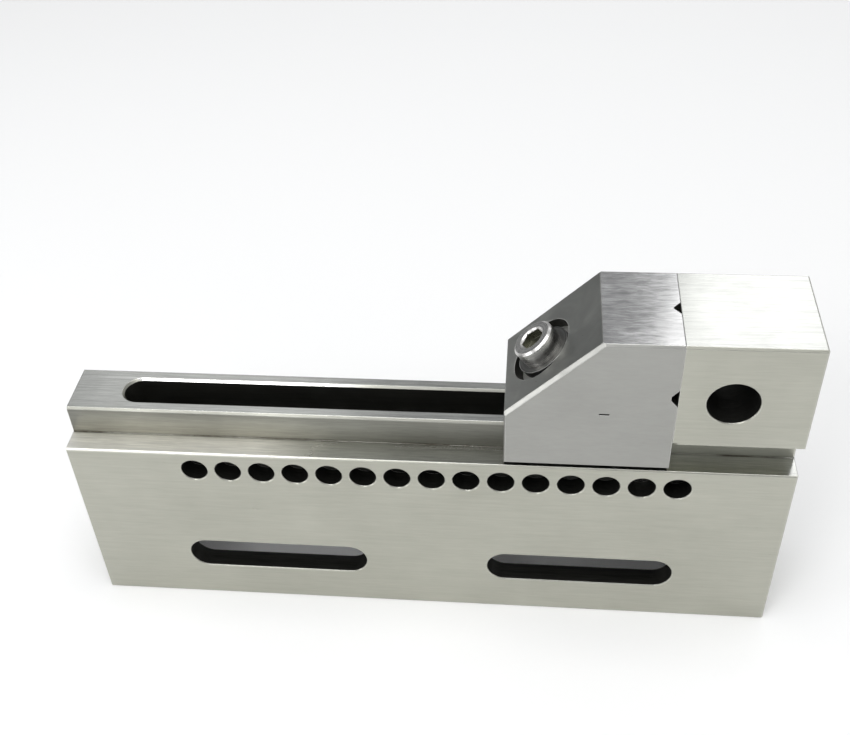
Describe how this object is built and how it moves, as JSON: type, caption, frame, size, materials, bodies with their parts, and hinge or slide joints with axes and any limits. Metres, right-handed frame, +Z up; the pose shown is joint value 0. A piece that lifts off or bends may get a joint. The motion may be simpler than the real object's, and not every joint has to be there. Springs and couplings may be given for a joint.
{
  "type": "wire EDM vise",
  "caption": "Precision wire-erosion vise: slotted plate body with a guide rail and solid fixed jaw, and a sliding jaw that an inclined screw pulls down and forward.",
  "frame": {"origin": "middle of the body's underside, halfway along its length and width", "axes": "+X along the body towards the fixed jaw, +Y towards the back, +Z up; the picture looks from -Y"},
  "size_m": [0.1676, 0.026, 0.087],
  "materials": {
    "ground_body": "surface ground, satin",
    "ground_jaw": "surface ground, satin",
    "washer_steel": "turned, bright",
    "screw_steel": "turned, bright",
    "bar_steel": "milled, satin",
    "pin_steel": "ground, bright"
  },
  "bodies": {
    "body": {"vise_body": "ground_body"},
    "jaw": {"movable_jaw": "ground_jaw", "seat_washer": "washer_steel"},
    "screw": {"clamp_screw": "screw_steel"},
    "bar": {"pull_bar": "bar_steel", "cross_pin": "pin_steel"}
  },
  "joints": [
    {"name": "jaw_slide", "type": "slide", "parent": "body", "child": "jaw", "axis": [-1, 0, 0], "range_m": [0, 0.104]},
    {"name": "screw_turn", "type": "hinge", "parent": "jaw", "child": "screw", "pos_m": [0.02396, 0, 0.07796], "axis": [0.6238, 0, -0.7816], "range_deg": [0, 720]},
    {"name": "bar_draw", "type": "slide", "parent": "jaw", "child": "bar", "axis": [-0.6238, 0, 0.7816], "range_m": [0, 0.002]}
  ],
  "couplings": [
    {"joint": "screw_turn", "follows": "bar_draw", "rad_per_m": 6283.2}
  ]
}
